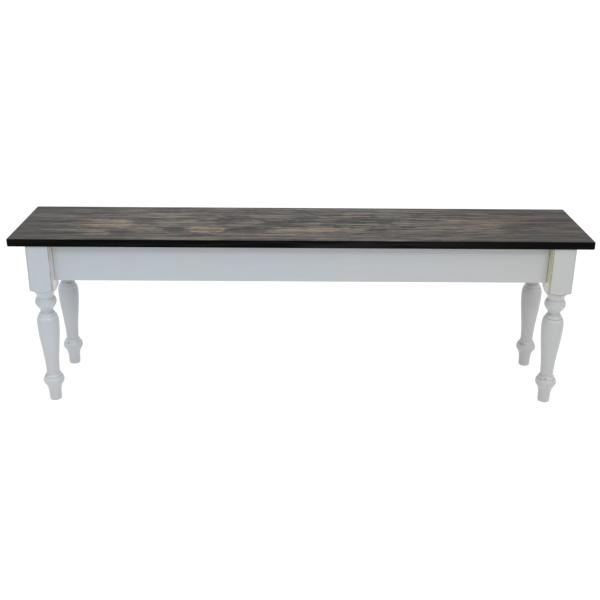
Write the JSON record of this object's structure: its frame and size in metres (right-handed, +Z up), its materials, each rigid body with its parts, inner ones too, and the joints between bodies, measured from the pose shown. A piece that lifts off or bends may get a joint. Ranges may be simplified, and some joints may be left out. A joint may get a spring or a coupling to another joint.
{
  "type": "farmhouse bench",
  "caption": "Long narrow bench with a dark stained plank seat, painted aprons set back from the faces of turned baluster legs, and bolted corner blocks underneath.",
  "frame": {"origin": "on the floor under the middle of the seat", "axes": "+X along the seat to the right as seen from the front, +Y from front to back, +Z up"},
  "size_m": [1.524, 0.308, 0.48],
  "materials": {
    "dark_stained_wood": "ebony stain under satin varnish, grain showing",
    "white_painted_wood": "cool white paint, satin, rubbed through at the arrises",
    "bare_wood": "planed softwood, unfinished",
    "zinc_steel": "zinc plated"
  },
  "bodies": {
    "root": {"back_apron": "white_painted_wood", "back_clip_1": "zinc_steel", "back_clip_2": "zinc_steel", "back_clip_3": "zinc_steel", "back_clip_4": "zinc_steel", "back_clip_screw_1": "zinc_steel", "back_clip_screw_2": "zinc_steel", "back_clip_screw_3": "zinc_steel", "back_clip_screw_4": "zinc_steel", "back_left_block_screws": "zinc_steel", "back_left_corner_block": "bare_wood", "back_left_hanger_bolts": "zinc_steel", "back_left_leg": "white_painted_wood", "back_left_nuts": "zinc_steel", "back_left_washers": "zinc_steel", "back_right_block_screws": "zinc_steel", "back_right_corner_block": "bare_wood", "back_right_hanger_bolts": "zinc_steel", "back_right_leg": "white_painted_wood", "back_right_nuts": "zinc_steel", "back_right_washers": "zinc_steel", "cleat_screws": "zinc_steel", "cross_cleat": "bare_wood", "front_apron": "white_painted_wood", "front_clip_1": "zinc_steel", "front_clip_2": "zinc_steel", "front_clip_3": "zinc_steel", "front_clip_4": "zinc_steel", "front_clip_screw_1": "zinc_steel", "front_clip_screw_2": "zinc_steel", "front_clip_screw_3": "zinc_steel", "front_clip_screw_4": "zinc_steel", "front_left_block_screws": "zinc_steel", "front_left_corner_block": "bare_wood", "front_left_hanger_bolts": "zinc_steel", "front_left_leg": "white_painted_wood", "front_left_nuts": "zinc_steel", "front_left_washers": "zinc_steel", "front_right_block_screws": "zinc_steel", "front_right_corner_block": "bare_wood", "front_right_hanger_bolts": "zinc_steel", "front_right_leg": "white_painted_wood", "front_right_nuts": "zinc_steel", "front_right_washers": "zinc_steel", "left_apron": "white_painted_wood", "right_apron": "white_painted_wood", "seat_board": "dark_stained_wood"}
  },
  "joints": []
}
